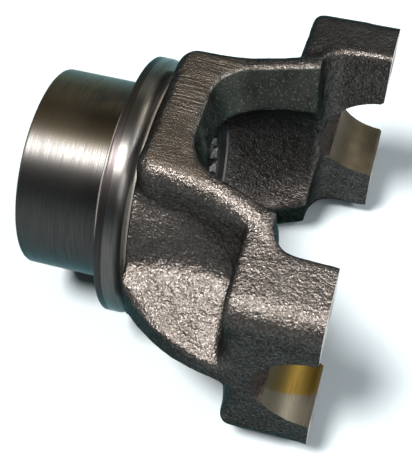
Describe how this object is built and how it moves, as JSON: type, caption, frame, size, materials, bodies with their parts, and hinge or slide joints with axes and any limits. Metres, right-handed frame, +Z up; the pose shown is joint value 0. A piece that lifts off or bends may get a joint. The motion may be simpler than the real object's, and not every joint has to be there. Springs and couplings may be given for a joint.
{
  "type": "half round end yoke",
  "caption": "Forged drive shaft end yoke with a splined, seal-ground hub, a collar and half-round bearing saddles on ribbed ears.",
  "frame": {"origin": "joint centre: where the bore axis meets the trunnion axis, in the plane of the ears' end faces", "axes": "+X along the bore from the hub to the ears, Y along the trunnion axis, +Z up with the yoke lying on its side"},
  "size_m": [0.1393, 0.1684, 0.1158],
  "materials": {
    "yoke": "shot-blasted forged skin, machined and ground on the hub, collar, bore and saddles"
  },
  "bodies": {
    "root": {"yoke": "yoke"}
  },
  "joints": []
}
